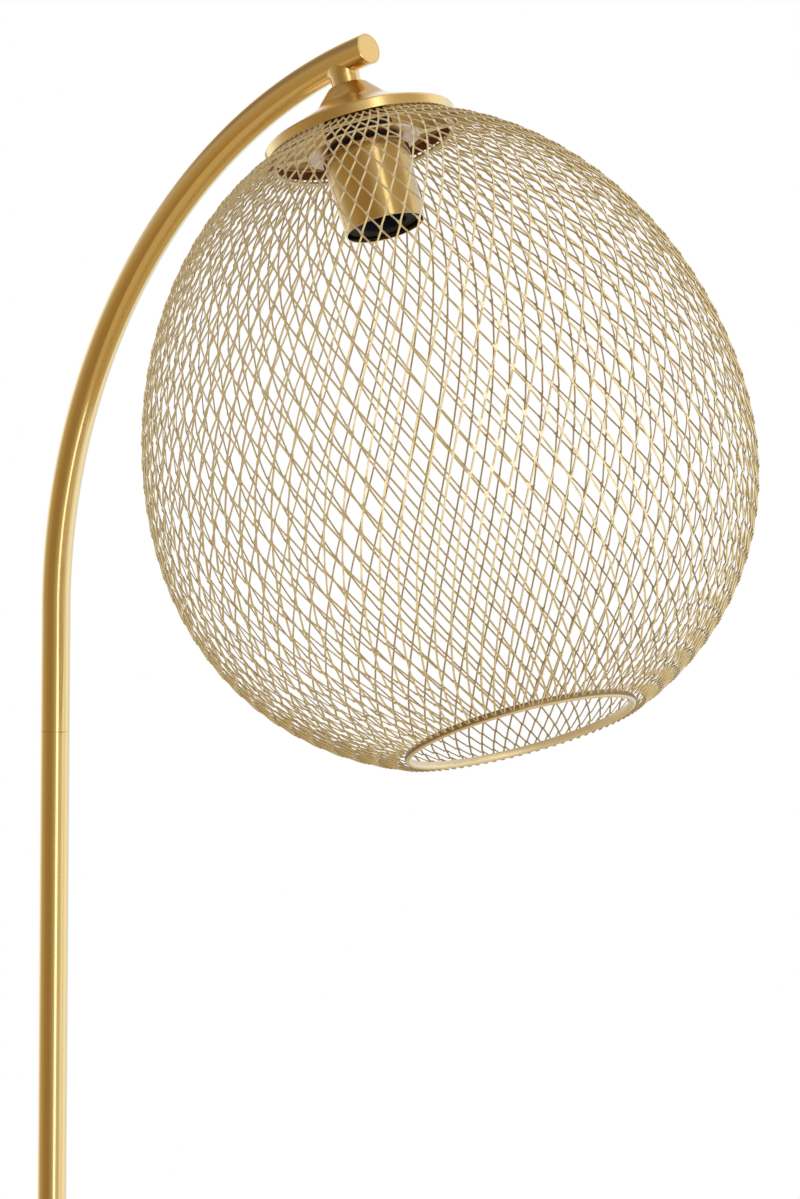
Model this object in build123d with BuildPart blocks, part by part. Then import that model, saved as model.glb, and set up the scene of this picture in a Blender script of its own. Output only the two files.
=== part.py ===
"""Arched floor lamp with a globe cage of crossing wires, all sizes in millimetres.

The pole stands on the Z axis with the underside of the base at Z = 0, and the arm reaches
towards +X in the XZ plane.  Everything under the arm's end is turned about the tilted shade
axis, and is drawn in a section whose X is the radius and whose Y is the station along that
axis, measured from the arm's centre line.
"""
from build123d import *
from math import cos, hypot, pi, radians, sin
import os

# ---------------------------------------------------------------- pole and arm
pole_diameter = 20.0
pole_wall = 1.2
pole_length = 523.5
seam_chamfer = 0.3
arm_straight = 84.0
arm_bend_radius = 370.0
arm_bend_angle = 75.0
arm_end_straight = 11.0
end_cap_thickness = 1.5

# ---------------------------------------------------------------- joints of the pole
insert_length = 14.0
insert_recess = 0.2
braze_gap = 0.05
stud_diameter = 12.0
stud_bore = 8.5
stud_length = 24.0
thread_gap = 0.1

# ---------------------------------------------------------------- base
base_diameter = 280.0
base_edge_fillet = 4.0
cover_wall = 1.5
cover_lift = 1.0
pad_diameter = 262.0
pad_thickness = 2.0
weight_diameter = 270.0
weight_thickness = 16.0
pocket_diameter = 36.0
pocket_depth = 8.0
groove_width = 9.0
foot_washer_diameter = 30.0
foot_washer_thickness = 1.6
foot_nut_width = 19.0
foot_nut_height = 5.0
inlet_bore = 6.6
inlet_wall = 1.2
inlet_flange = 1.2
inlet_flange_thickness = 1.0

# ---------------------------------------------------------------- shade axis and neck
shade_tilt = 20.5
neck_angle = 72.8
neck_diameter = 19.0
neck_wall = 1.2
neck_end = 18.0
neck_plug_length = 8.0
wire_hole_diameter = 9.0
nipple_diameter = 10.0
nipple_bore = 7.5

# ---------------------------------------------------------------- bell cap
cap_diameter = 124.4
cap_rim_height = 6.7
cap_lip_rounding = 0.6
cap_top_diameter = 26.0
cap_top_rounding = 0.8
cap_throat_diameter = 52.0
cap_throat_depth = 14.2
cap_lid_depth = 30.9
cap_throat_fillet = 9.0
cap_wall = 1.2

# ---------------------------------------------------------------- cage
cage_diameter = 380.0
cage_widest = 277.0
cage_upper_depth = 233.5
cage_upper_power = 1.93
cage_lower_depth = 185.5
cage_lower_power = 2.1
cage_top_radius = 58.8
cage_bottom_radius = 72.0
strand_count = 44
strand_rows = 18
strand_size = 1.6
layer_gap = 0.12
ring_gap = 0.05
ring_reach = 1.0
top_ring_wire = 3.0
bottom_ring_wire = 4.0
march_step = 0.5

# ---------------------------------------------------------------- stack under the cap
spacer_diameter = 43.0
spacer_hub_diameter = 22.0
spacer_hub_end = 38.0
bridge_width = 7.0
bridge_thickness = 1.5
bridge_turn = 45.0
bridge_hub_diameter = 24.0
bridge_margin = 0.8
plate_diameter = 73.0
plate_thickness = 1.2
plate_edge_chamfer = 0.3
gasket_diameter = 46.0
gasket_thickness = 2.3

# ---------------------------------------------------------------- socket cup
cup_top_diameter = 56.6
cup_mouth_diameter = 51.0
cup_length = 52.4
cup_wall = 1.0
cup_shoulder_fillet = 3.0
cup_washer_diameter = 20.0
cup_washer_thickness = 0.8
lock_nut_width = 17.0
lock_nut_height = 3.6

# ---------------------------------------------------------------- lampholder
holder_diameter = 47.0
holder_recess = 3.0
holder_back = 5.0
holder_nipple_grip = 4.0
holder_mouth_chamfer = 1.2
holder_well_diameter = 26.0
holder_well_depth = 7.0
shell_bore = 27.2
shell_wall = 0.5
shell_gap = 0.3
shell_length = 15.0
shell_lip = 1.8
carrier_thickness = 6.0
contact_head_diameter = 10.0
contact_head_thickness = 0.8
contact_stem_diameter = 5.0
contact_tail_diameter = 8.0
contact_tail_thickness = 1.5
contact_stroke = 1.5
contact_gap = 0.1
contact_rest_gap = 0.3
terminal_offset = 8.2
terminal_size = 5.0
terminal_height = 4.6
terminal_screw_diameter = 3.0
terminal_screw_head_diameter = 4.6
terminal_screw_head_height = 1.2
terminal_screw_grip = 3.4

# ---------------------------------------------------------------- heights and radii worked out
pole_radius = pole_diameter / 2
pole_bore_radius = pole_radius - pole_wall
weight_top = pad_thickness + weight_thickness
cover_top = weight_top + cover_wall
lower_seam = cover_top + pole_length
arm_seam = lower_seam + pole_length
bend_start = arm_seam + arm_straight
stud_radius = stud_diameter / 2
tapped_radius = stud_radius + thread_gap
nipple_radius = nipple_diameter / 2
nipple_hole_radius = nipple_radius + thread_gap
neck_radius = neck_diameter / 2
neck_bore_radius = neck_radius - neck_wall

# ---------------------------------------------------------------- shade frame
tilt = radians(shade_tilt)
neck_turn = radians(neck_angle)
shade_origin = Vector(
    arm_bend_radius * (1 - cos(neck_turn)), 0, bend_start + arm_bend_radius * sin(neck_turn)
)
shade_down = Vector(sin(tilt), 0, -cos(tilt))
shade_across = Vector(cos(tilt), 0, sin(tilt))
shade_axis = Axis(shade_origin, shade_down)
shade_section = Plane(origin=shade_origin, x_dir=shade_across, z_dir=(0, 1, 0))


def shade_plane(station):
    """Plane square to the shade axis, its normal pointing down the axis."""
    return Plane(shade_origin + shade_down * station, x_dir=shade_across, z_dir=shade_down)


def wall(inner_radius, outer_radius, start, end):
    """Draw the section of one round wall into the sketch in hand."""
    with Locations(((inner_radius + outer_radius) / 2, (start + end) / 2)):
        Rectangle(outer_radius - inner_radius, end - start)


# ================================================================ base
with BuildPart() as base_pad:
    Cylinder(pad_diameter / 2, pad_thickness, align=(Align.CENTER, Align.CENTER, Align.MIN))

groove_plane = Plane.XY.offset(pad_thickness)
with BuildPart() as base_weight:
    with BuildSketch(groove_plane):
        Circle(weight_diameter / 2)
    extrude(amount=weight_thickness)
    with BuildSketch(groove_plane):
        Circle(pocket_diameter / 2)
        with Locations((-weight_diameter / 4, 0)):
            Rectangle(weight_diameter / 2, groove_width)
    extrude(amount=pocket_depth, mode=Mode.SUBTRACT)
    with BuildSketch(groove_plane):
        Circle(tapped_radius)
    extrude(amount=weight_thickness, mode=Mode.SUBTRACT)

# The cord runs out through the weight's groove and a bushed hole in the cover's rear wall.
inlet_hole_radius = inlet_bore / 2 + inlet_wall
inlet_height = pad_thickness + inlet_hole_radius
inlet_reach = cover_wall * 2
inlet_plane = Plane(origin=(-base_diameter / 2, 0, inlet_height), x_dir=(0, 1, 0), z_dir=(1, 0, 0))
with BuildPart() as base_cover:
    with BuildSketch(Plane.XY.offset(cover_lift)):
        Circle(base_diameter / 2)
    extrude(amount=cover_top - cover_lift)
    fillet(base_cover.edges().group_by(Axis.Z)[-1], radius=base_edge_fillet)
    offset(amount=-cover_wall, openings=base_cover.faces().sort_by(Axis.Z)[0])
    with BuildSketch(Plane.XY.offset(weight_top)):
        Circle(tapped_radius)
    extrude(amount=cover_wall, mode=Mode.SUBTRACT)
    with BuildSketch(inlet_plane):
        Circle(inlet_hole_radius)
    extrude(amount=inlet_reach, mode=Mode.SUBTRACT)

with BuildPart() as cord_inlet:
    with BuildSketch(inlet_plane.offset(-inlet_flange_thickness)):
        Circle(inlet_hole_radius + inlet_flange)
    extrude(amount=inlet_flange_thickness)
    with BuildSketch(inlet_plane.offset(-inlet_flange_thickness / 2)):
        Circle(inlet_hole_radius - thread_gap)
    extrude(amount=inlet_flange_thickness / 2 + inlet_reach)
    with BuildSketch(inlet_plane.offset(-inlet_flange_thickness)):
        Circle(inlet_bore / 2)
    extrude(amount=inlet_flange_thickness + inlet_reach, mode=Mode.SUBTRACT)

# The hollow foot stud clamps cover and weight to the pole from the pocket underneath.
pocket_top = pad_thickness + pocket_depth
foot_nut_top = pocket_top - foot_washer_thickness
foot_nut_bottom = foot_nut_top - foot_nut_height
stud_reach = stud_length / 2
with BuildPart() as foot_washer:
    with BuildSketch(Plane.XY.offset(foot_nut_top)):
        Circle(foot_washer_diameter / 2)
        Circle(tapped_radius, mode=Mode.SUBTRACT)
    extrude(amount=foot_washer_thickness)

with BuildPart() as foot_nut:
    with BuildSketch(Plane.XY.offset(foot_nut_bottom)):
        RegularPolygon(foot_nut_width / 2, 6, major_radius=False)
        Circle(tapped_radius, mode=Mode.SUBTRACT)
    extrude(amount=foot_nut_height)

with BuildPart() as foot_stud:
    with BuildSketch(Plane.XY.offset(foot_nut_bottom)):
        Circle(stud_radius)
        Circle(stud_bore / 2, mode=Mode.SUBTRACT)
    extrude(amount=cover_top + stud_reach - foot_nut_bottom)

# ================================================================ pole and arm
with BuildPart() as lower_pole:
    with BuildSketch(Plane.XY.offset(cover_top)):
        Circle(pole_radius)
        Circle(pole_bore_radius, mode=Mode.SUBTRACT)
    extrude(amount=pole_length)
    chamfer(lower_pole.edges().group_by(Axis.Z)[-1].group_by(SortBy.LENGTH)[-1], seam_chamfer)

with BuildPart() as upper_pole:
    with BuildSketch(Plane.XY.offset(lower_seam)):
        Circle(pole_radius)
        Circle(pole_bore_radius, mode=Mode.SUBTRACT)
    extrude(amount=pole_length)
    chamfer(upper_pole.edges().group_by(Axis.Z)[0].group_by(SortBy.LENGTH)[-1], seam_chamfer)
    chamfer(upper_pole.edges().group_by(Axis.Z)[-1].group_by(SortBy.LENGTH)[-1], seam_chamfer)

insert_planes = [
    Plane.XY.offset(cover_top + insert_recess),
    Plane.XY.offset(lower_seam - insert_recess - insert_length),
    Plane.XY.offset(lower_seam + insert_recess),
    Plane.XY.offset(arm_seam - insert_recess - insert_length),
    Plane.XY.offset(arm_seam + insert_recess),
]
with BuildPart() as tube_inserts:
    with BuildSketch(*insert_planes):
        Circle(pole_bore_radius - braze_gap)
        Circle(tapped_radius, mode=Mode.SUBTRACT)
    extrude(amount=insert_length)

with BuildPart() as coupling_studs:
    with BuildSketch(Plane.XY.offset(lower_seam - stud_reach), Plane.XY.offset(arm_seam - stud_reach)):
        Circle(stud_radius)
        Circle(stud_bore / 2, mode=Mode.SUBTRACT)
    extrude(amount=stud_length)

arm_bend_centre = (arm_bend_radius, bend_start)
with BuildLine(Plane.XZ) as arm_path:
    Line((0, arm_seam), (0, bend_start))
    bend = CenterArc(arm_bend_centre, arm_bend_radius, 180, -arm_bend_angle)
    arm_end_line = Line(bend @ 1, (bend @ 1) + (bend % 1) * arm_end_straight)
arm_end = arm_end_line @ 1
arm_direction = arm_end_line % 1

with BuildPart() as arm_bar:
    with BuildSketch(Plane.XY.offset(arm_seam)):
        Circle(pole_radius)
    sweep(path=arm_path.wires()[0])

with BuildPart() as arm_tube:
    with BuildSketch(Plane.XY.offset(arm_seam)):
        Circle(pole_radius)
        Circle(pole_bore_radius, mode=Mode.SUBTRACT)
    sweep(path=arm_path.wires()[0])
    chamfer(arm_tube.edges().group_by(Axis.Z)[0].group_by(SortBy.LENGTH)[-1], seam_chamfer)
    with BuildSketch(shade_plane(0)):
        Circle(wire_hole_diameter / 2)
    extrude(amount=pole_diameter, mode=Mode.SUBTRACT)

with BuildPart() as arm_end_cap:
    with BuildSketch(Plane(arm_end, z_dir=-arm_direction)):
        Circle(pole_bore_radius - braze_gap)
    extrude(amount=end_cap_thickness)

# The neck is a short length of slimmer tube, coped to the arm and closed by a tapped plug.
with BuildPart() as neck:
    with BuildSketch(shade_plane(0)):
        Circle(neck_radius)
        Circle(neck_bore_radius, mode=Mode.SUBTRACT)
    extrude(amount=neck_end)
    add(arm_bar.part, mode=Mode.SUBTRACT)

with BuildPart() as neck_plug:
    with BuildSketch(shade_plane(neck_end - neck_plug_length)):
        Circle(neck_bore_radius - braze_gap)
        Circle(nipple_hole_radius, mode=Mode.SUBTRACT)
    extrude(amount=neck_plug_length)
    add(arm_bar.part, mode=Mode.SUBTRACT)

# ================================================================ bell cap
cap_top_radius = cap_top_diameter / 2
cap_radius = cap_diameter / 2
cap_throat = (cap_throat_diameter / 2, neck_end + cap_throat_depth)
cap_lid_edge = neck_end + cap_lid_depth
cap_end = cap_lid_edge + cap_rim_height
with BuildPart() as bell_cap:
    with BuildSketch(shade_section) as cap_section:
        with BuildLine():
            Polyline(
                (0, neck_end),
                (cap_top_radius, neck_end),
                cap_throat,
                (cap_radius, cap_lid_edge),
                (cap_radius, cap_end),
                (0, cap_end),
                close=True,
            )
        make_face()
        cap_corners = cap_section.vertices().sort_by(Axis(shade_origin, shade_across))
        fillet(cap_corners[2], radius=cap_top_rounding)
        fillet(cap_corners[3], radius=cap_throat_fillet)
        fillet(cap_corners[4:].sort_by(shade_axis)[0], radius=cap_lip_rounding)
    revolve(axis=shade_axis)
    offset(amount=-cap_wall, openings=bell_cap.faces().sort_by(shade_axis)[-1])
    with BuildSketch(shade_plane(neck_end)):
        Circle(nipple_hole_radius)
    extrude(amount=cap_wall, mode=Mode.SUBTRACT)

# ================================================================ cage
def cage_radius(station):
    """Radius of the cage's middle surface, a taller superellipse above the widest station."""
    drop = station - cage_widest
    power = cage_upper_power if drop < 0 else cage_lower_power
    depth = cage_upper_depth if drop < 0 else cage_lower_depth
    return cage_diameter / 2 * (1 - (abs(drop) / depth) ** power) ** (1 / power)


def cage_depth_at(radius, depth, power):
    """Distance from the widest station at which the cage has narrowed to a radius."""
    return depth * (1 - (2 * radius / cage_diameter) ** power) ** (1 / power)


def meridian_stations(count):
    """Stations that cut the cage's meridian into a count of equal lengths."""
    lengths = [0.0]
    stations = [cage_start]
    while stations[-1] < cage_finish - march_step:
        growth = cage_radius(stations[-1] + march_step) - cage_radius(stations[-1])
        lengths.append(lengths[-1] + hypot(march_step, growth))
        stations.append(stations[-1] + march_step)
    share = lengths[-1] / count
    picks = [min(range(len(lengths)), key=lambda i: abs(lengths[i] - share * k)) for k in range(count)]
    return [stations[i] for i in picks] + [cage_finish], lengths[-1]


cage_start = cage_widest - cage_depth_at(cage_top_radius, cage_upper_depth, cage_upper_power)
cage_finish = cage_widest + cage_depth_at(cage_bottom_radius, cage_lower_depth, cage_lower_power)
crossings, meridian_length = meridian_stations(strand_rows)
crossing_turn = pi / strand_count
turn_rate = crossing_turn * strand_rows / meridian_length
side = Vector(0, 1, 0)


def row_slope(row):
    """Growth of radius per millimetre down the axis, between the crossings beside a row."""
    above = crossings[max(row - 1, 0)]
    below = crossings[min(row + 1, strand_rows)]
    return (cage_radius(below) - cage_radius(above)) / (below - above)


def strand_plane(row, hand):
    """Plane square to a strand at one crossing; hand is 1 for the inner layer, -1 for the outer."""
    station = crossings[row]
    turn = hand * crossing_turn * row
    slope = row_slope(row)
    outward = shade_across * cos(turn) + side * sin(turn)
    around = (side * cos(turn) - shade_across * sin(turn)) * hand
    along = (outward * slope + shade_down).normalized()
    normal = (outward - shade_down * slope).normalized()
    lift = -hand * (strand_size + layer_gap) / 2
    centre = shade_origin + shade_down * station + outward * cage_radius(station) + normal * lift
    return Plane(centre, x_dir=normal, z_dir=along + around * cage_radius(station) * turn_rate)


def ring_centre(row, reach, wire):
    """Radius and station of a ring against the inner strands, a short reach in from their end."""
    inset = strand_size + layer_gap / 2 + ring_gap + wire / 2
    slope = row_slope(row)
    run = hypot(1, slope)
    station = crossings[row] + (reach + inset * slope) / run
    return cage_radius(crossings[row]) + (reach * slope - inset) / run, station


with BuildPart() as right_strand:
    for row in range(strand_rows + 1):
        with BuildSketch(strand_plane(row, 1)):
            Rectangle(strand_size, strand_size)
    loft(ruled=True)

with BuildPart() as left_strand:
    for row in range(strand_rows + 1):
        with BuildSketch(strand_plane(row, -1)):
            Rectangle(strand_size, strand_size)
    loft(ruled=True)

strand_turns = [360 / strand_count * k for k in range(strand_count)]
inner_strands = Compound(children=[right_strand.part.rotate(shade_axis, turn) for turn in strand_turns])
outer_strands = Compound(children=[left_strand.part.rotate(shade_axis, turn) for turn in strand_turns])

top_ring_radius, top_ring_station = ring_centre(0, ring_reach, top_ring_wire)
bottom_ring_radius, bottom_ring_station = ring_centre(strand_rows, -ring_reach, bottom_ring_wire)
with BuildPart() as cage_top_ring:
    with BuildSketch(shade_section):
        with Locations((top_ring_radius, top_ring_station)):
            Circle(top_ring_wire / 2)
    revolve(axis=shade_axis)

with BuildPart() as cage_bottom_ring:
    with BuildSketch(shade_section):
        with Locations((bottom_ring_radius, bottom_ring_station)):
            Circle(bottom_ring_wire / 2)
    revolve(axis=shade_axis)

# ================================================================ stack clamped under the cap
bridge_end = top_ring_station - top_ring_wire / 2
bridge_start = bridge_end - bridge_thickness
plate_end = bridge_end + plate_thickness
cup_start = plate_end + gasket_thickness
cup_finish = cup_start + cup_length
cup_washer_end = cup_start + cup_wall + cup_washer_thickness
lock_nut_end = cup_washer_end + lock_nut_height

# A black moulded spacer carries the clamping force from the bridge up to the cap.
with BuildPart() as cage_spacer:
    with BuildSketch(shade_section):
        wall(nipple_hole_radius, spacer_hub_diameter / 2, neck_end + cap_wall, spacer_hub_end)
        wall(nipple_hole_radius, spacer_diameter / 2, spacer_hub_end, bridge_start)
    revolve(axis=shade_axis)

bridge_turned = Plane(
    shade_origin + shade_down * bridge_start,
    x_dir=shade_across * cos(radians(bridge_turn)) + side * sin(radians(bridge_turn)),
    z_dir=shade_down,
)
with BuildPart() as cage_bridge:
    with BuildSketch(bridge_turned):
        SlotOverall((top_ring_radius - bridge_margin) * 2, bridge_width)
        Circle(bridge_hub_diameter / 2)
        Circle(nipple_hole_radius, mode=Mode.SUBTRACT)
    extrude(amount=bridge_thickness)

with BuildPart() as cover_plate:
    with BuildSketch(shade_plane(bridge_end)):
        Circle(plate_diameter / 2)
        Circle(nipple_hole_radius, mode=Mode.SUBTRACT)
    extrude(amount=plate_thickness)
    chamfer(cover_plate.edges().group_by(SortBy.LENGTH)[-1], plate_edge_chamfer)

with BuildPart() as cup_gasket:
    with BuildSketch(shade_plane(plate_end)):
        Circle(gasket_diameter / 2)
        Circle(nipple_hole_radius, mode=Mode.SUBTRACT)
    extrude(amount=gasket_thickness)

# ================================================================ socket cup
with BuildPart() as socket_cup:
    with BuildSketch(shade_section):
        with BuildLine():
            Polyline(
                (0, cup_start),
                (cup_top_diameter / 2, cup_start),
                (cup_mouth_diameter / 2, cup_finish),
                (0, cup_finish),
                close=True,
            )
        make_face()
    revolve(axis=shade_axis)
    fillet(socket_cup.edges().sort_by(shade_axis)[0], radius=cup_shoulder_fillet)
    offset(amount=-cup_wall, openings=socket_cup.faces().sort_by(shade_axis)[-1])
    with BuildSketch(shade_plane(cup_start)):
        Circle(nipple_hole_radius)
    extrude(amount=cup_wall, mode=Mode.SUBTRACT)

with BuildPart() as cup_washer:
    with BuildSketch(shade_plane(cup_start + cup_wall)):
        Circle(cup_washer_diameter / 2)
        Circle(nipple_hole_radius, mode=Mode.SUBTRACT)
    extrude(amount=cup_washer_thickness)

with BuildPart() as cup_lock_nut:
    with BuildSketch(shade_plane(cup_washer_end)):
        RegularPolygon(lock_nut_width / 2, 6, major_radius=False)
        Circle(nipple_hole_radius, mode=Mode.SUBTRACT)
    extrude(amount=lock_nut_height)

nipple_end = lock_nut_end + holder_nipple_grip
nipple_start = neck_end - neck_plug_length
with BuildPart() as threaded_nipple:
    with BuildSketch(shade_section):
        wall(nipple_bore / 2, nipple_radius, nipple_start, nipple_end)
    revolve(axis=shade_axis)
    add(arm_bar.part, mode=Mode.SUBTRACT)

# ================================================================ lampholder
well_start = lock_nut_end + holder_back
carrier_start = well_start + holder_well_depth
shell_start = carrier_start + carrier_thickness
shell_radius = shell_bore / 2 + shell_wall
socket_radius = shell_radius + shell_gap
holder_finish = cup_finish - holder_recess
with BuildPart() as lampholder_body:
    with BuildSketch(shade_section):
        wall(nipple_hole_radius, holder_diameter / 2, lock_nut_end, well_start)
        wall(holder_well_diameter / 2, holder_diameter / 2, well_start, carrier_start)
        wall(socket_radius, holder_diameter / 2, carrier_start, holder_finish)
    revolve(axis=shade_axis)
    holder_rims = lampholder_body.edges().group_by(shade_axis)[-1]
    chamfer(holder_rims, length=holder_mouth_chamfer)

with BuildPart() as contact_carrier:
    with BuildSketch(shade_section):
        wall(contact_stem_diameter / 2 + contact_gap, socket_radius - thread_gap, carrier_start, shell_start)
    revolve(axis=shade_axis)

with BuildPart() as thread_shell:
    with BuildSketch(shade_section):
        wall(shell_bore / 2, shell_radius, shell_start, shell_start + shell_length)
        wall(shell_bore / 2 - shell_lip, shell_bore / 2, shell_start, shell_start + shell_wall)
    revolve(axis=shade_axis)

# The sprung centre contact is pressed towards the back of the lampholder by the bulb's tip.
contact_head_start = shell_start + contact_stroke + contact_gap
contact_tail_end = carrier_start - contact_rest_gap
with BuildPart() as centre_contact:
    with BuildSketch(shade_section):
        wall(0, contact_tail_diameter / 2, contact_tail_end - contact_tail_thickness, contact_tail_end)
        wall(0, contact_stem_diameter / 2, contact_tail_end, contact_head_start)
        wall(
            0, contact_head_diameter / 2,
            contact_head_start, contact_head_start + contact_head_thickness,
        )
    revolve(axis=shade_axis)

terminal_plane = shade_plane(carrier_start - terminal_height)
with BuildPart() as terminal_blocks:
    with BuildSketch(terminal_plane):
        with Locations((terminal_offset, 0), (-terminal_offset, 0)):
            Rectangle(terminal_size, terminal_size)
            Circle(terminal_screw_diameter / 2 + thread_gap, mode=Mode.SUBTRACT)
    extrude(amount=terminal_height)

with BuildPart() as terminal_screws:
    with BuildSketch(terminal_plane.offset(-terminal_screw_head_height)):
        with Locations((terminal_offset, 0), (-terminal_offset, 0)):
            Circle(terminal_screw_head_diameter / 2)
    extrude(amount=terminal_screw_head_height)
    with BuildSketch(terminal_plane):
        with Locations((terminal_offset, 0), (-terminal_offset, 0)):
            Circle(terminal_screw_diameter / 2)
    extrude(amount=terminal_screw_grip)

# ================================================================ write the pieces
pieces = {
    "base_pad": base_pad.part,
    "base_weight": base_weight.part,
    "base_cover": base_cover.part,
    "cord_inlet": cord_inlet.part,
    "foot_washer": foot_washer.part,
    "foot_nut": foot_nut.part,
    "foot_stud": foot_stud.part,
    "lower_pole": lower_pole.part,
    "upper_pole": upper_pole.part,
    "tube_inserts": tube_inserts.part,
    "coupling_studs": coupling_studs.part,
    "arm_tube": arm_tube.part,
    "arm_end_cap": arm_end_cap.part,
    "neck": neck.part,
    "neck_plug": neck_plug.part,
    "threaded_nipple": threaded_nipple.part,
    "bell_cap": bell_cap.part,
    "cage_spacer": cage_spacer.part,
    "cage_bridge": cage_bridge.part,
    "cage_top_ring": cage_top_ring.part,
    "cage_inner_strands": inner_strands,
    "cage_outer_strands": outer_strands,
    "cage_bottom_ring": cage_bottom_ring.part,
    "cover_plate": cover_plate.part,
    "cup_gasket": cup_gasket.part,
    "socket_cup": socket_cup.part,
    "cup_washer": cup_washer.part,
    "cup_lock_nut": cup_lock_nut.part,
    "lampholder_body": lampholder_body.part,
    "contact_carrier": contact_carrier.part,
    "thread_shell": thread_shell.part,
    "centre_contact": centre_contact.part,
    "terminal_blocks": terminal_blocks.part,
    "terminal_screws": terminal_screws.part,
}
os.makedirs("parts", exist_ok=True)
for name, piece in pieces.items():
    piece.label = name
    export_step(piece, f"parts/{name}.step")
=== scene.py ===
"""Dresses the arched cage lamp: formed mesh globe, brass tubes, spun cap and cup, lampholder."""
from bisect import bisect_left
from math import atan2, cos, hypot, pi, radians, sin

import bmesh
import bpy
from bpy.props import (BoolProperty, FloatProperty, FloatVectorProperty, IntProperty,
                       PointerProperty)
from mathutils import Matrix, Vector


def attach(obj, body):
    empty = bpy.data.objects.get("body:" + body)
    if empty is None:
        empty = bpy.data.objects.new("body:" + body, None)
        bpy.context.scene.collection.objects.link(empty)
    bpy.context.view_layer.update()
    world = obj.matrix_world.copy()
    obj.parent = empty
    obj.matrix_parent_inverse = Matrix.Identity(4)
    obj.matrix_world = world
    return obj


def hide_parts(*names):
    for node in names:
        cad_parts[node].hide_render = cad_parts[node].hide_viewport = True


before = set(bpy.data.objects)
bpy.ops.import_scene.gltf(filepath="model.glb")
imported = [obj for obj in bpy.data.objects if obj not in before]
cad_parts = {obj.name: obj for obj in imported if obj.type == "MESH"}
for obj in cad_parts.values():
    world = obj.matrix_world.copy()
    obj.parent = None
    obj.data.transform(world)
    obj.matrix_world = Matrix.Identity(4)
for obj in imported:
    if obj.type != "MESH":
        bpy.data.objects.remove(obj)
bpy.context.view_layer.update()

bl_info = {
    "name": "Arched cage lamp",
    "version": (1, 0, 0),
    "blender": (4, 5, 0),
    "location": "3D View > Sidebar > Cage lamp",
    "description": "Builds the looks of an arched floor lamp with a formed mesh globe",
    "category": "Object",
}

MM = 0.001
BODY = "lamp"

# Heights on the pole and stations down the shade's axis, in millimetres.
COVER_TOP = 19.5
LOWER_SEAM = 543.0
ARM_SEAM = 1066.5
BEND_START = 1150.5
NECK_END = 18.0
CAP_FLOOR = 19.2
CAP_SHOULDER = 32.2
SPACER_STEP = 38.0
CAP_EDGE = 48.9
CAP_LIP = 55.6
BRIDGE_START = 56.71
BRIDGE_END = 58.21
PLATE_END = 59.41
CUP_START = 61.71
CUP_END = 114.11
HOLDER_START = 67.11
WELL_START = 72.11
CARRIER_START = 79.11
SHELL_START = 85.11
HOLDER_END = 111.11

# Radii of the turned pieces about that axis, in millimetres.
NIPPLE_HOLE = 5.1
NECK_RADIUS = 9.5
CAP_TOP_RADIUS = 13.0
SHOULDER_RADIUS = 26.0
CAP_RADIUS = 62.2
CAP_BORE = 61.0
SPACER_NECK = 11.0
SPACER_RADIUS = 21.5
PLATE_RADIUS = 36.5
GASKET_RADIUS = 23.0
CUP_TOP_RADIUS = 28.13
CUP_BORE = 27.1
CUP_MOUTH_RADIUS = 25.5
CUP_WALL = 1.0
HOLDER_RADIUS = 23.5
HOLDER_BORE = 14.4
WELL_RADIUS = 13.0
CARRIER_RADIUS = 14.3
CARRIER_HOLE = 2.6

# Faces round a tube, a piece of the stack or cup, and the cap or a ring; faces over a soft corner.
TUBE_SIDES = 96
STACK_SIDES = 128
CAP_SIDES = 192
ROUND_STEPS = 3
WIDE_ROUND_STEPS = 5

# A loop this far from each end of a long straight stretch keeps its shading flat.
HOLD = 0.35
LONG = 3.0

# How the mesh lies on the globe's meridian: how far two strands cross below the middle of their
# joint, as a share of half its length, how far in the strands are set, how fast the mesh widens
# under the rim, and the steps either way over which the slope is read.
CROSSING_DROP = 0.55
SETBACK = 0.2
TUCK_RATE = 0.2
SLOPE_STEPS = 8

# Marks of spinning and of brushing, per metre.
SPIN_PITCH = 1400.0
ARM_BRUSHING = (3.0, 1250.0, 1.0)

# What polished metal shows in each direction, from behind the lamp's left round by the camera to
# behind its right: (degrees from the camera, colour).
WALLS = (
    (-180, (0.98, 1.0, 1.0)), (-130, (0.96, 0.98, 1.0)), (-120, (0.68, 0.71, 0.75)),
    (-108, (0.5, 0.49, 0.45)), (-96, (0.41, 0.35, 0.23)), (-84, (0.4, 0.31, 0.16)),
    (-60, (0.31, 0.215, 0.09)), (-28, (0.28, 0.195, 0.083)), (-12, (0.33, 0.26, 0.13)),
    (0, (0.39, 0.35, 0.23)), (9, (0.5, 0.5, 0.45)), (36, (0.57, 0.55, 0.46)),
    (46, (0.55, 0.51, 0.37)), (54, (0.57, 0.53, 0.38)), (60, (0.68, 0.67, 0.57)),
    (67, (0.92, 0.97, 1.0)), (75, (0.8, 0.85, 0.85)), (83, (0.7, 0.74, 0.76)),
    (90, (0.8, 0.88, 0.95)), (103, (1.0, 1.0, 1.0)), (120, (0.82, 0.92, 1.0)),
    (140, (0.68, 0.8, 1.0)), (180, (0.78, 0.92, 1.0)),
)
CEILING = (
    (-180, (0.54, 0.45, 0.33)), (-150, (0.38, 0.29, 0.15)), (-130, (0.22, 0.17, 0.13)),
    (-90, (0.3, 0.24, 0.15)), (-40, (0.26, 0.19, 0.1)), (-16, (0.33, 0.25, 0.14)),
    (4, (0.58, 0.52, 0.37)), (22, (0.7, 0.7, 0.6)), (48, (0.52, 0.43, 0.28)),
    (75, (0.46, 0.4, 0.26)), (96, (0.6, 0.54, 0.4)), (106, (0.95, 0.93, 0.84)),
    (118, (0.9, 0.9, 0.88)), (140, (0.9, 0.95, 1.0)), (158, (0.56, 0.56, 0.6)),
    (180, (0.54, 0.45, 0.33)),
)
MIRRORED_LEVEL = 1.25

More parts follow.
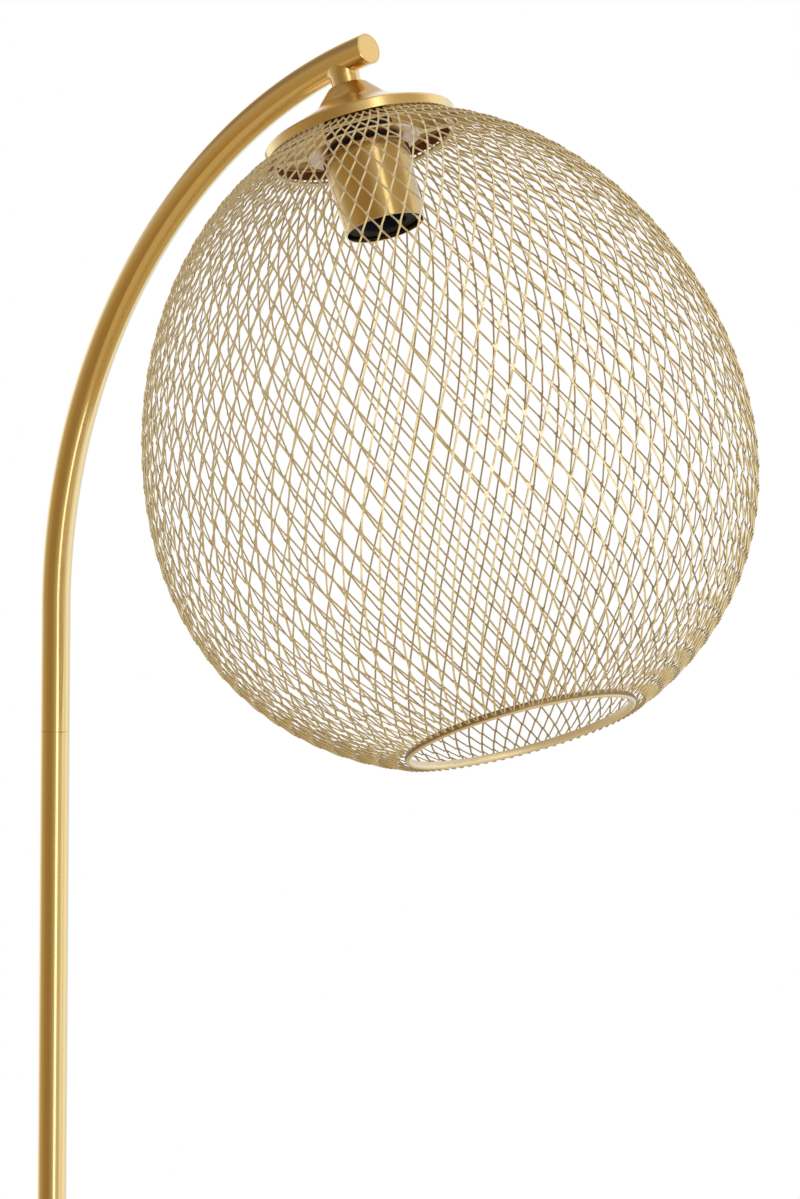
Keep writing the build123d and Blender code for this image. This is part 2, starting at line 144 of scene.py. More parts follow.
# How steeply up a direction points, as a sine, where the ceiling starts and where it is full.
CEILING_START = 0.16
CEILING_FULL = 0.42

# A bright upright stripe in that room: degrees from the camera, half widths, level, fade upwards.
STRIPE = 22.0
STRIPE_CORE = 4.0
STRIPE_EDGE = 9.0
STRIPE_LEVEL = 3.6
STRIPE_FADE = 0.45

# The floor lies just under the pad, in millimetres, and glows this much to the eye.
FLOOR_DROP = 0.3
FLOOR_GLOW = 0.6


# ---------------------------------------------------------------- settings
class CageSizes(bpy.types.PropertyGroup):
    """Sizes of the globe of formed mesh, in millimetres."""

    columns: IntProperty(name="Columns", description="Meshes round the globe", default=88)
    rows: IntProperty(name="Rows", description="Rows of joints from cap to mouth", default=35)
    width: FloatProperty(name="Strand width", description="Width of one strand", default=1.05)
    depth: FloatProperty(name="Strand depth", description="Thickness of the sheet", default=0.6)
    tilt: FloatProperty(
        name="Strand tilt", description="How far each strand's face turns down",
        default=radians(25), subtype="ANGLE")
    scale_step: FloatProperty(
        name="Scale step", description="How far a joint leans out of the sheet", default=1.0)
    joint_share: FloatProperty(
        name="Joint share", description="Half a joint's length as a share of a row",
        default=0.1, subtype="FACTOR")
    widest: FloatProperty(name="Widest station", description="Where it is widest", default=277.0)
    radius: FloatProperty(name="Radius", description="Radius at the widest place", default=190.0)
    upper_depth: FloatProperty(
        name="Upper depth", description="Depth of the curve above the widest place", default=233.5)
    upper_power: FloatProperty(
        name="Upper power", description="Fullness of the upper curve", default=1.93)
    lower_depth: FloatProperty(
        name="Lower depth", description="Depth of the curve below the widest place", default=185.5)
    lower_power: FloatProperty(
        name="Lower power", description="Fullness of the lower curve", default=2.1)
    tuck_start: FloatProperty(
        name="Tuck start", description="Station above which the mesh widens into the rim",
        default=60.0)
    joint_swell: FloatProperty(
        name="Joint swell", description="Width of a joint as a share of a strand's", default=1.2)
    start: FloatProperty(name="Start", description="Station of the top row", default=54.0)
    finish: FloatProperty(name="Finish", description="Station of the bottom row", default=448.6)


class TubeSizes(bpy.types.PropertyGroup):
    """Sizes of the pole and arm, in millimetres."""

    radius: FloatProperty(name="Radius", description="Outer radius of the tube", default=10.0)
    bore: FloatProperty(name="Bore", description="Inner radius of the tube", default=8.8)
    edge: FloatProperty(name="Edge", description="Softened edge at each seam", default=0.3)
    bend: FloatProperty(name="Bend radius", description="Radius of the arch", default=370.0)
    bend_angle: FloatProperty(
        name="Bend angle", description="Turn of the arch", default=radians(75), subtype="ANGLE")
    end_straight: FloatProperty(
        name="End straight", description="Straight length past the arch", default=11.0)


class Finishes(bpy.types.PropertyGroup):
    """Colours of the lamp's finishes."""

    brass: FloatVectorProperty(
        name="Brass", description="Satin brass of tube, cap and cup", subtype="COLOR",
        default=(0.80, 0.58, 0.27))
    champagne: FloatVectorProperty(
        name="Champagne", description="Coating of the mesh", subtype="COLOR",
        default=(0.84, 0.68, 0.38))
    joint: FloatVectorProperty(
        name="Joint", description="Bare metal of the mesh's joints", subtype="COLOR",
        default=(0.92, 0.79, 0.54))
    # This colour is both the slit sides' own colour and painted shade on the strands' inward
    # faces.
    slit_side_and_inner_shade: FloatVectorProperty(
        name="Slit side", description="Narrow side of a strand, where the sheet was slit",
        subtype="COLOR", default=(0.54, 0.42, 0.23))
    # Painted shade on the rings' outer side, under the strands.
    crevice_shade: FloatVectorProperty(
        name="Crevice", description="Dull side of the mouth's ring, under the strands",
        subtype="COLOR", default=(0.36, 0.25, 0.13))
    ring: FloatVectorProperty(
        name="Ring", description="Coating of the two rings", subtype="COLOR",
        default=(0.84, 0.70, 0.45))
    plate: FloatVectorProperty(
        name="Plate", description="Disc over the cup", subtype="COLOR",
        default=(0.70, 0.52, 0.42))
    # The cut edge's colour is partly bare steel and partly a painted highlight under the cap.
    cut_edge_highlight: FloatVectorProperty(
        name="Cut edge", description="Bright edge of that disc", subtype="COLOR",
        default=(1.0, 0.90, 0.68))
    # The inside colour is painted shade: dark coppery brown on the cap's inner wall and slope.
    inside: FloatVectorProperty(
        name="Inside", description="Coppery bare metal inside the cap", subtype="COLOR",
        default=(0.28, 0.11, 0.05))
    zinc: FloatVectorProperty(
        name="Zinc", description="Plated steel fittings", subtype="COLOR",
        default=(0.66, 0.66, 0.65))
    contact: FloatVectorProperty(
        name="Contact brass", description="Bare brass of the contacts", subtype="COLOR",
        default=(0.80, 0.56, 0.25))
    plastic: FloatVectorProperty(
        name="Plastic", description="Black moulded parts", subtype="COLOR",
        default=(0.018, 0.018, 0.02))
    iron: FloatVectorProperty(
        name="Iron", description="Primed cast weight", subtype="COLOR",
        default=(0.05, 0.05, 0.053))
    felt: FloatVectorProperty(
        name="Felt", description="Pad under the base", subtype="COLOR",
        default=(0.03, 0.03, 0.032))


class StageSettings(bpy.types.PropertyGroup):
    """Floor, light and camera."""

    floor_size: FloatProperty(
        name="Floor size", description="Side of the floor", default=3.4, unit="LENGTH")
    floor_colour: FloatVectorProperty(
        name="Floor colour", description="Pale studio floor", subtype="COLOR",
        default=(0.62, 0.62, 0.62))
    floor_mirrored: FloatVectorProperty(
        name="Mirrored floor", description="What polished metal shows below", subtype="COLOR",
        default=(0.62, 0.50, 0.27))
    front: FloatProperty(
        name="Front strip", description="Power of the tall light beside the camera", default=10.0)
    side: FloatProperty(
        name="Side strip", description="Power of the tall light at the right", default=6.0)
    key: FloatProperty(
        name="Key", description="Power of the soft light behind the right side", default=9.0)
    ambient: FloatProperty(name="Ambient", description="Even light of the room", default=0.75)
    camera_place: FloatVectorProperty(
        name="Camera place", description="Where the camera stands", subtype="XYZ",
        default=(2.160168, -2.018491, 1.229801))
    camera_aim: FloatVectorProperty(
        name="Camera aim", description="Direction of view", subtype="DIRECTION",
        default=(-0.674345, 0.738015, -0.024343))
    camera_right: FloatVectorProperty(
        name="Camera right", description="Direction of the picture's right side",
        subtype="DIRECTION", default=(0.738052, 0.674681, 0.009160))
    camera_lens: FloatProperty(
        name="Lens", description="Focal length on a 36 mm long side", default=130.584)
    show_floor: BoolProperty(name="Floor", description="Lay the floor", default=True)


# ---------------------------------------------------------------- shade axis
SHADE_TILT = radians(20.5)
NECK_TURN = radians(72.8)
SHADE_DOWN = Vector((sin(SHADE_TILT), 0, -cos(SHADE_TILT)))
SHADE_ACROSS = Vector((cos(SHADE_TILT), 0, sin(SHADE_TILT)))


def shade_origin(tube):
    """Point on the arm's centre line where the shade's axis starts."""
    ahead, up = tube.bend * (1 - cos(NECK_TURN)), tube.bend * sin(NECK_TURN)
    return Vector((ahead, 0, BEND_START + up)) * MM


def shade_frame(tube):
    """Matrix from a piece drawn about Z, stations as heights, to its place on the shade's axis."""
    turned = Matrix((SHADE_ACROSS, (0, -1, 0), SHADE_DOWN)).transposed().to_4x4()
    return Matrix.Translation(shade_origin(tube)) @ turned


# ---------------------------------------------------------------- mesh tools
def stand_in(bm, name, node, material, smooth_angle=35.0):
    """Turn a finished bmesh into an object that rides on the lamp and stands for a CAD node."""
    mesh = bpy.data.meshes.new(name)
    bm.to_mesh(mesh)
    bm.free()
    mesh.shade_smooth()
    mesh.set_sharp_from_angle(angle=radians(smooth_angle))
    mesh.materials.append(material)
    piece = bpy.data.objects.new(name, mesh)
    bpy.context.scene.collection.objects.link(piece)
    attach(piece, BODY)
    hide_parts(node)


def about_shade(scene, bm, name, node, material, smooth_angle=35.0):
    """Move a shape drawn about Z to the shade's axis, then make it stand for a CAD node."""
    bmesh.ops.transform(bm, matrix=shade_frame(scene.lamp_tube), verts=bm.verts)
    stand_in(bm, name, node, material, smooth_angle)


def lathe(profile, steps):
    """Spin a closed section of (radius, height, softness) corners about Z, its corners rounded."""
    bm = bmesh.new()
    corners = [bm.verts.new((radius * MM, 0, height * MM)) for radius, height, softness in profile]
    for pair in zip(corners, corners[1:] + corners[:1]):
        bm.edges.new(pair)
    for corner, (radius, height, softness) in zip(corners, profile):
        if softness:
            bmesh.ops.bevel(
                bm, geom=[corner], offset=softness * MM, offset_type="ABSOLUTE",
                affect="VERTICES", segments=WIDE_ROUND_STEPS if softness > 1 else ROUND_STEPS,
                profile=0.5, material=-1)
    for edge in bm.edges[:]:
        near, far = edge.verts
        span = edge.calc_length() / MM
        if span > LONG:
            bmesh.utils.edge_split(edge, near, HOLD / span)
            bmesh.utils.edge_split(edge, far, HOLD / (span - HOLD))
    bmesh.ops.spin(
        bm, geom=bm.verts[:] + bm.edges[:], cent=(0, 0, 0), axis=(0, 0, 1), angle=2 * pi,
        steps=steps, use_merge=True, use_duplicate=False)
    bmesh.ops.remove_doubles(bm, verts=bm.verts, dist=MM / 1000)
    bmesh.ops.recalc_face_normals(bm, faces=bm.faces)
    return bm


def only_edges(parts):
    """The edges among what an operator made."""
    return [part for part in parts if isinstance(part, bmesh.types.BMEdge)]


def ring_verts(edges):
    """Points of a rim."""
    return list({vert for edge in edges for vert in edge.verts})


def carry_on(bm, edges, matrix):
    """Extrude a rim and move the new one; returns its edges."""
    made = bmesh.ops.extrude_edge_only(bm, edges=edges)
    rim = [edge for edge in only_edges(made["geom"]) if len(edge.link_faces) == 1]
    bmesh.ops.transform(bm, matrix=matrix, verts=ring_verts(rim))
    return rim


def shrink(centre, share, normal):
    """Matrix that scales a rim about its centre, in its own plane."""
    flat = Matrix.Identity(3) * share + (1 - share) * Matrix([normal * k for k in normal])
    return Matrix.Translation(centre) @ flat.to_4x4() @ Matrix.Translation(-centre)


# ---------------------------------------------------------------- finishes
class Flow:
    """A value that runs through a finish; arithmetic on it adds Math nodes."""

    def __init__(self, finish, socket):
        self.finish = finish
        self.socket = socket

    def maths(self, operation, *terms):
        """Add a Math node on these terms."""
        return self.finish.node("ShaderNodeMath", {"operation": operation}, dict(enumerate(terms)))

    def __add__(self, other):
        return self.maths("ADD", self, other)

    def __sub__(self, other):
        return self.maths("SUBTRACT", self, other)

    def __rsub__(self, other):
        return self.maths("SUBTRACT", other, self)

    def __mul__(self, other):
        return self.maths("MULTIPLY", self, other)

    __radd__ = __add__
    __rmul__ = __mul__


class Finish:
    """The nodes of one material."""

    def __init__(self, name, owner=None):
        self.material = owner or bpy.data.materials.new(name)
        self.material.use_nodes = True
        self.tree = self.material.node_tree
        self.tree.nodes.clear()

    def node(self, kind, settings=None, sockets=None, out=0):
        """Add a node, its settings first, then its sockets; returns one of its outputs."""
        made = self.tree.nodes.new(kind)
        for key, value in (settings or {}).items():
            if key == "stops":
                for place, (position, colour) in enumerate(value):
                    points = made.color_ramp.elements
                    stop = points[place] if place < len(points) else points.new(position)
                    stop.position, stop.color = position, colour
            else:
                setattr(made, key, value)
        for key, value in (sockets or {}).items():
            if isinstance(value, Flow):
                self.tree.links.new(value.socket, made.inputs[key])
            else:
                made.inputs[key].default_value = value
        return Flow(self, made.outputs[out]) if made.outputs else made

    def mix(self, share, first, second):
        """Blend of two colours."""
        sockets = {0: share, 6: self.rgba(first), 7: self.rgba(second)}
        return self.node("ShaderNodeMix", {"data_type": "RGBA"}, sockets, out=2)

    @staticmethod
    def rgba(colour):
        """A plain colour with its alpha, or the flow it already is."""
        return colour if isinstance(colour, Flow) else (*colour, 1.0)

    def noise(self, vector, scale, detail=2.0, roughness=0.5):
        """Fractal noise between 0 and 1."""
        sockets = {"Vector": vector, "Scale": scale, "Detail": detail, "Roughness": roughness}
        return self.node("ShaderNodeTexNoise", None, sockets)

    def bump(self, height, strength, distance):
        """Normal that a height gives the surface."""
        sockets = {"Height": height, "Strength": strength, "Distance": distance}
        return self.node("ShaderNodeBump", None, sockets)

    def mark(self, name):
        """Share that is marked on a piece's points or faces."""
        return self.node("ShaderNodeAttribute", {"attribute_name": name}, out="Fac")

    def ray(self, kind):
        """1 for rays of this kind, otherwise 0."""
        return self.node("ShaderNodeLightPath", out=kind)

    def place(self, location=(0, 0, 0), rotation=(0, 0, 0), scale=(1, 1, 1)):
        """Object coordinates seen from a turned and shifted origin."""
        source = self.node("ShaderNodeTexCoord", out="Object")
        sockets = {"Vector": source, "Location": location, "Rotation": rotation, "Scale": scale}
        return self.node("ShaderNodeMapping", {"vector_type": "TEXTURE"}, sockets)

    def surface(self, sockets):
        """Principled surface with these sockets, as the material's output."""
        shader = self.node("ShaderNodeBsdfPrincipled", None, sockets)
        self.node("ShaderNodeOutputMaterial", None, {"Surface": shader})
        return self.material


def tone(colour, level):
    """A colour made lighter or darker."""
    return tuple(min(channel * level, 1.0) for channel in colour)


def satin_metal(name, colour, streaks, roughness, inside=None):
    """Brushed metal under clear lacquer; streaks maps a finish to its brushing pattern."""
    finish = Finish(name)
    fine = streaks(finish)
    broad = finish.noise(finish.place(), 14.0, 3.0)
    shade = finish.mix(fine * 0.7 + broad * 0.3, tone(colour, 0.95), tone(colour, 1.04))
    metal = 1.0
    # Where the inside is marked, the dark inside colour is painted shade inside the cap.
    if inside:
        mark = finish.mark("inside")
        shade = finish.mix(mark, shade, inside)
        metal = 1.0 - mark * 0.45
    return finish.surface({
        "Base Color": shade,
        "Metallic": metal,
        "Roughness": roughness - 0.03 + fine * 0.06,
        "Coat Weight": 0.35,
        "Coat Roughness": 0.06,
        "Normal": finish.bump(fine, 0.12, 0.00003),
    })


def tube_streaks(finish):
    """Fine rings of brushing round an upright tube."""
    return finish.noise(finish.place(scale=(0.05, 0.05, 0.0008)), 1.0, 4.0, 0.7)


def arm_streaks(finish):
    """The same brushing followed round the arch on the piece's own map."""
    chart = finish.node("ShaderNodeUVMap", {"uv_map": "along"})
    spread = finish.node("ShaderNodeMapping", None, {"Vector": chart, "Scale": ARM_BRUSHING})
    return finish.noise(spread, 1.0, 4.0, 0.7)


def spun_streaks(centre, turn):
    """Rings of spinning marks about an axis, for the cap, the cup and the base."""
    def pattern(finish):
        local = finish.place(location=centre, rotation=turn)
        height = finish.node("ShaderNodeSeparateXYZ", None, {0: local}, out=2)
        flat = finish.node("ShaderNodeVectorMath", {"operation": "MULTIPLY"},
                           {0: local, 1: (1.0, 1.0, 0.0)})
        reach = finish.node("ShaderNodeVectorMath", {"operation": "LENGTH"}, {0: flat}, out=1)
        ring = finish.node(
            "ShaderNodeCombineXYZ", None, {0: reach * SPIN_PITCH, 1: height * SPIN_PITCH})
        return finish.noise(ring, 1.0, 3.0, 0.6)
    return pattern


def mesh_coating(name, colour, joint, metal=0.7, side=None):
    """Satin coating of the formed mesh, changed where joints and slit sides are marked; the slit
    mark also carries painted shade on inward faces, and on the rings the joint mark carries
    painted shade.
    """
    finish = Finish(name)
    mark = finish.mark("joint_shade")
    grain = finish.noise(finish.place(), 900.0, 2.0)
    coat = finish.mix(grain, tone(colour, 0.94), tone(colour, 1.05))
    shade = finish.mix(mark, coat, joint)
    if side:
        shade = finish.mix(finish.mark("slit_side_and_inner_shade"), shade, side)
    return finish.surface({
        "Base Color": shade,
        "Metallic": metal + mark * 0.1,
        "Roughness": 0.4 + grain * 0.08 - mark * 0.04,
        "Normal": finish.bump(grain, 0.15, 0.00005),
    })


def moulded_plastic(name, colour, roughness, grain_size, shine=0.4):
    """Black plastic with the mould's fine texture."""
    finish = Finish(name)
    grain = finish.noise(finish.place(), grain_size, 3.0, 0.6)
    patches = finish.noise(finish.place(), 60.0, 2.0)
    return finish.surface({
        "Base Color": finish.mix(patches, tone(colour, 0.8), tone(colour, 1.4)),
        "Roughness": roughness + patches * 0.08,
        "Specular IOR Level": shine,
        "Normal": finish.bump(grain, 0.1, 0.00005),
    })


def plated_steel(name, colour, edge=None):
    """Bright plating with faint clouding, and a paler cut edge where one is marked, painted extra
    bright as a highlight.
    """
    finish = Finish(name)
    clouds = finish.noise(finish.place(), 120.0, 4.0, 0.6)
    shade = finish.mix(clouds, tone(colour, 0.88), tone(colour, 1.08))
    metal = 1.0
    if edge:
        mark = finish.mark("edge")
        shade = finish.mix(mark, shade, edge)
        metal = 1.0 - mark * 0.7
    return finish.surface({
        "Base Color": shade,
        "Metallic": metal,
        "Roughness": 0.26 + clouds * 0.14,
        "Normal": finish.bump(clouds, 0.08, 0.00008),
    })


def cast_surface(name, colour):
    """Primed sand casting, pitted all over."""
    finish = Finish(name)
    pits = finish.noise(finish.place(), 700.0, 4.0, 0.7)
    return finish.surface({
        "Base Color": finish.mix(pits, tone(colour, 0.7), tone(colour, 1.3)),
        "Metallic": 0.2,
        "Roughness": 0.6 + pits * 0.2,
        "Normal": finish.bump(pits, 0.5, 0.0003),
    })


def felted(name, colour):
    """Dense felt with short fibres lying every way."""
    finish = Finish(name)
    fibres = finish.noise(finish.place(), 1800.0, 5.0, 0.8)
    tufts = finish.noise(finish.place(), 260.0, 3.0, 0.7)
    return finish.surface({
        "Base Color": finish.mix(fibres * 0.5 + tufts * 0.5, tone(colour, 0.6), tone(colour, 1.8)),
        "Roughness": 0.95,
        "Normal": finish.bump(fibres + tufts, 0.6, 0.0003),
    })


def dress(material, slot, *names):
    """Give carried-over nodes their finish."""
    for name in names:
        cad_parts[name].material_slots[0].material = material


def brass_about_shade(scene, name, roughness, inside=None, level=1.0):
    """Spun brass whose marks run about the shade's axis, toned darker or lighter by level."""
    place = shade_frame(scene.lamp_tube)
    pattern = spun_streaks(place.to_translation(), place.to_euler())
    colour = tone(scene.lamp_finishes.brass, level)
    return satin_metal(name, colour, pattern, roughness, inside=inside)


def mark_inside_shade(bm, slope_shade_share=0.3, slope=0.5, flat=0.97):
    """Mark a turned shell's inside for painted shade: full on its wall, a little on its slope,
    none on its top.
    """
    mark = bm.verts.layers.float.new("inside")
    bm.normal_update()
    for vert in bm.verts:
        if vert.normal.xy.dot(vert.co.xy) < 0 and vert.normal.z < flat:
            vert[mark] = slope_shade_share if vert.normal.z > slope else 1.0


# ---------------------------------------------------------------- pieces
class LAMP_OT_pole(bpy.types.Operator):
    """Turn the two straight lengths of the pole"""

    bl_idname = "lamp.pole"
    bl_label = "Pole"

    def execute(self, context):
        tube = context.scene.lamp_tube
        brass = satin_metal("brass_tube", context.scene.lamp_finishes.brass, tube_streaks, 0.14)
        spans = {
            "lower_pole": ("pole_lower_length", COVER_TOP, LOWER_SEAM, 0),
            "upper_pole": ("pole_upper_length", LOWER_SEAM, ARM_SEAM, tube.edge),
        }
        for node, (name, low, high, low_edge) in spans.items():
            bm = lathe([
                (tube.bore, low, 0), (tube.radius, low, low_edge),
                (tube.radius, high, tube.edge), (tube.bore, high, 0),
            ], TUBE_SIDES)
            stand_in(bm, name, node, brass)
        return {"FINISHED"}


class LAMP_OT_arm(bpy.types.Operator):
    """Bend the arm from the top of the pole and close its end"""

    bl_idname = "lamp.arm"
    bl_label = "Arm"

    def execute(self, context):
        scene, tube = context.scene, context.scene.lamp_tube
        brass = satin_metal("brass_arm", scene.lamp_finishes.brass, arm_streaks, 0.14)
        bm = bmesh.new()
        bmesh.ops.create_circle(
            bm, segments=TUBE_SIDES, radius=tube.bore * MM,
            matrix=Matrix.Translation((0, 0, ARM_SEAM * MM)))
        rim = bm.edges[:]
        foot, up = Vector((0, 0, ARM_SEAM * MM)), Vector((0, 0, 1))
        rim = carry_on(bm, rim, shrink(foot, (tube.radius - tube.edge) / tube.bore, up))
        grow = shrink(foot, tube.radius / (tube.radius - tube.edge), up)
        rim = carry_on(bm, rim, Matrix.Translation(up * tube.edge * MM) @ grow)
        rim = carry_on(bm, rim, Matrix.Translation(up * (BEND_START - ARM_SEAM - tube.edge) * MM))
        arch_steps, inset = 75, 3
        made = bmesh.ops.spin(
            bm, geom=ring_verts(rim) + rim, cent=(tube.bend * MM, 0, BEND_START * MM),
            axis=(0, 1, 0), angle=tube.bend_angle, steps=arch_steps, use_duplicate=False)
        rim = only_edges(made["geom_last"])
        ahead = Vector((sin(tube.bend_angle), 0, cos(tube.bend_angle)))
        rim = carry_on(bm, rim, Matrix.Translation(ahead * (tube.end_straight - tube.edge) * MM))
        bend_end = Vector((1 - cos(tube.bend_angle), 0, sin(tube.bend_angle))) * tube.bend
        end = (bend_end + Vector((0, 0, BEND_START)) + ahead * tube.end_straight) * MM
        near_end = end - ahead * tube.edge * MM
        taper = shrink(near_end, (tube.radius - tube.edge) / tube.radius, ahead)
        rim = carry_on(bm, rim, Matrix.Translation(ahead * tube.edge * MM) @ taper)
        rim = carry_on(bm, rim, shrink(end, tube.bore / (tube.radius - tube.edge), ahead))
        carry_on(bm, rim, Matrix.Translation(-ahead * inset * MM))
        bmesh.ops.recalc_face_normals(bm, faces=bm.faces)
        self.chart(bm, tube)
        stand_in(bm, "arm_arched_tube", "arm_tube", brass)
        self.close_end(scene, end, ahead)
        return {"FINISHED"}

    def chart(self, bm, tube):
        """Map each face by its turn round the tube and its length along the arm."""
        chart = bm.loops.layers.uv.new("along")
        centre = Vector((tube.bend * MM, 0, BEND_START * MM))
        for face in bm.faces:
            turns = []
            for loop in face.loops:
                spot = loop.vert.co - centre
                sweep = max(atan2(spot.z, -spot.x), 0)
                middle = centre + Vector((-cos(sweep), 0, sin(sweep))) * tube.bend * MM
                out = loop.vert.co - middle
                turns.append(atan2(out.y, out.dot(Vector((-cos(sweep), 0, sin(sweep))))))
                loop[chart].uv = (turns[-1] / (2 * pi), sweep * tube.bend * MM + min(spot.z, 0))
            if max(turns) - min(turns) > pi:
                for loop in face.loops:
                    if loop[chart].uv.x < 0:
                        loop[chart].uv.x += 1

    def close_end(self, scene, end, ahead):
        """The disc set into the arm's end, nearly flush, with a hair's gap round it."""
        gap, thickness = 0.02, 1.5
        reach = scene.lamp_tube.bore - gap
        bm = lathe([
            (0, -gap, 0), (reach, -gap, 0.06), (reach, -thickness, 0), (0, -thickness, 0),
        ], TUBE_SIDES)
        turn = ahead.to_track_quat("Z", "Y").to_matrix().to_4x4()
        bmesh.ops.transform(bm, matrix=Matrix.Translation(end) @ turn, verts=bm.verts)
        pattern = spun_streaks(end, turn.to_euler())
        # The end disc's brass is a tenth lighter than the tube's, a painted highlight on the end
        # face.
        face = satin_metal("brass_end_face", tone(scene.lamp_finishes.brass, 1.1), pattern, 0.24)
        stand_in(bm, "arm_end_disc", "arm_end_cap", face)


class LAMP_OT_cap(bpy.types.Operator):
    """Spin the bell-shaped cap and finish the neck above it"""

    bl_idname = "lamp.cap"
    bl_label = "Cap and neck"

    def execute(self, context):
        scene = context.scene
        # The cap's inside takes the dark inside colour as painted shade.
        brass = brass_about_shade(scene, "brass_cap", 0.23, scene.lamp_finishes.inside)
        outside = [
            (NIPPLE_HOLE, NECK_END, 0), (CAP_TOP_RADIUS, NECK_END, 0.7),
            (SHOULDER_RADIUS, CAP_SHOULDER, 5.5), (CAP_RADIUS, CAP_EDGE, 0.9),
            (CAP_RADIUS, CAP_LIP, 0.35)]
        # The same corners a sheet's thickness further in.
        inside = [
            (CAP_BORE, CAP_LIP, 0.35), (CAP_BORE, CAP_EDGE + 0.77, 0.5),
            (SHOULDER_RADIUS - 0.4, CAP_SHOULDER + 1.15, 5.5),
            (CAP_TOP_RADIUS - 0.53, CAP_FLOOR, 0.4), (NIPPLE_HOLE, CAP_FLOOR, 0)]
        bm = lathe(outside + inside, CAP_SIDES)
        mark_inside_shade(bm)
        about_shade(scene, bm, "cap_spun_bell", "bell_cap", brass)
        self.neck(scene)
        return {"FINISHED"}

    def neck(self, scene):
        """A short tube that flares along the arm where it is brazed on."""
        bm = bmesh.new()
        low = Matrix.Translation((0, 0, NECK_END * MM))
        bmesh.ops.create_circle(bm, segments=TUBE_SIDES, radius=NECK_RADIUS * MM, matrix=low)
        rim, height, before = bm.edges[:], NECK_END, (NECK_RADIUS, NECK_RADIUS)
        for station, along, across in (
            (12, NECK_RADIUS, NECK_RADIUS), (10, 9.9, NECK_RADIUS), (8.6, 10.8, 9.45),
            (7.4, 12.4, 9.4), (5, 12.4, 9.3), (0.5, 12.4, 9.3),
        ):
            grow = Matrix.Diagonal((along / before[0], across / before[1], 1, 1))
            rim = carry_on(bm, rim, Matrix.Translation((0, 0, (station - height) * MM)) @ grow)
            height, before = station, (along, across)
        bmesh.ops.recalc_face_normals(bm, faces=bm.faces)
        brass = brass_about_shade(scene, "brass_neck", 0.2)
        about_shade(scene, bm, "neck_flared_tube", "neck", brass)


